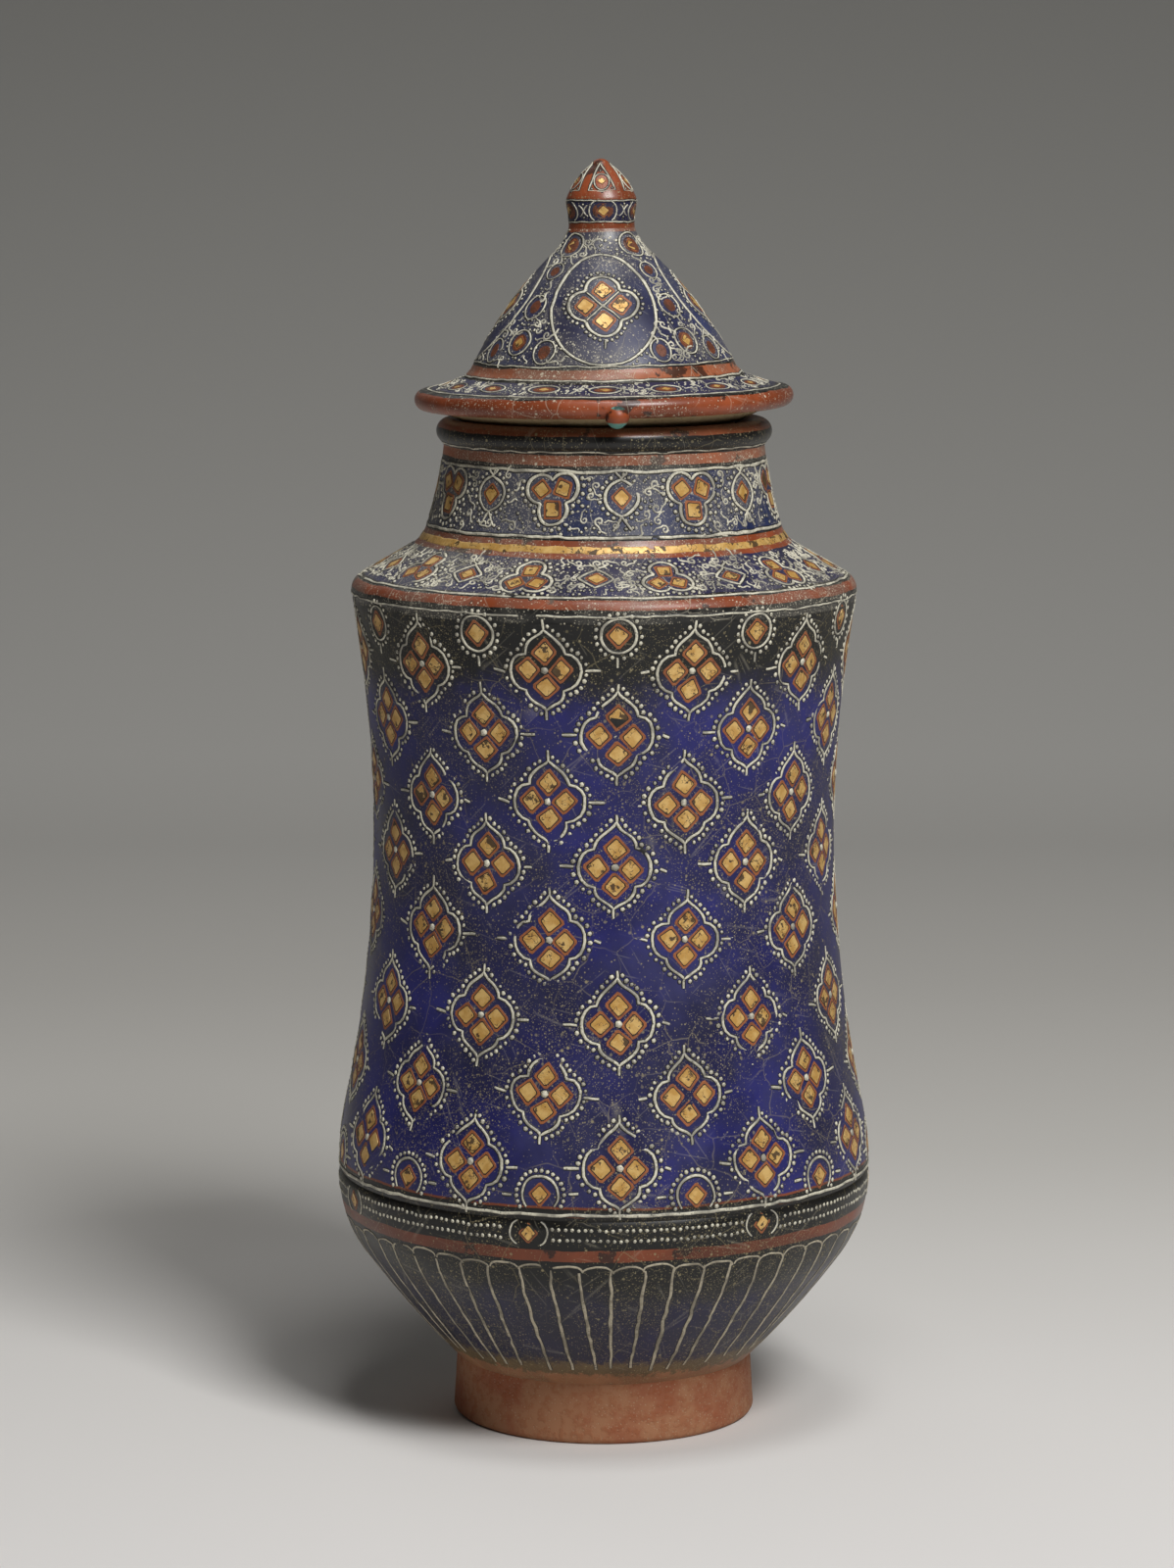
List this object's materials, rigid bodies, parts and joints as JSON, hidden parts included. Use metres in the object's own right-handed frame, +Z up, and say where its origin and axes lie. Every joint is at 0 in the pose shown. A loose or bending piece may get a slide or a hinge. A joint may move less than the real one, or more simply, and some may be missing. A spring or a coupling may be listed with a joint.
{
  "type": "lidded albarello",
  "caption": "Waisted ceramic storage jar on a foot ring, with a short neck, a rolled mouth and a bell-shaped lid that lifts off by its pointed knob.",
  "frame": {"origin": "middle of the circle that the foot stands on", "axes": "+Z up along the jar's axis, -Y towards the front, where the drop of glaze hangs from the brim"},
  "size_m": [0.1592, 0.1592, 0.375],
  "materials": {
    "bare_clay": "unglazed, dry, stained",
    "cobalt_glaze": "deep blue glaze, crazed and worn",
    "red_enamel": "brick red enamel, chipped",
    "cream_glaze": "cream glaze, plain"
  },
  "bodies": {
    "jar": {"foot_ring": "bare_clay", "lower_bowl": "cobalt_glaze", "waist_drum": "cobalt_glaze", "shoulder": "cobalt_glaze", "neck": "cobalt_glaze", "mouth_rim": "red_enamel"},
    "lid": {"lid_collar": "cream_glaze", "lid_brim": "red_enamel", "lid_cone": "cobalt_glaze", "lid_knob": "red_enamel"}
  },
  "joints": [
    {"name": "lid_lift", "type": "slide", "parent": "jar", "child": "lid", "axis": [0, 0, 1], "range_m": [0, 0.12]}
  ]
}
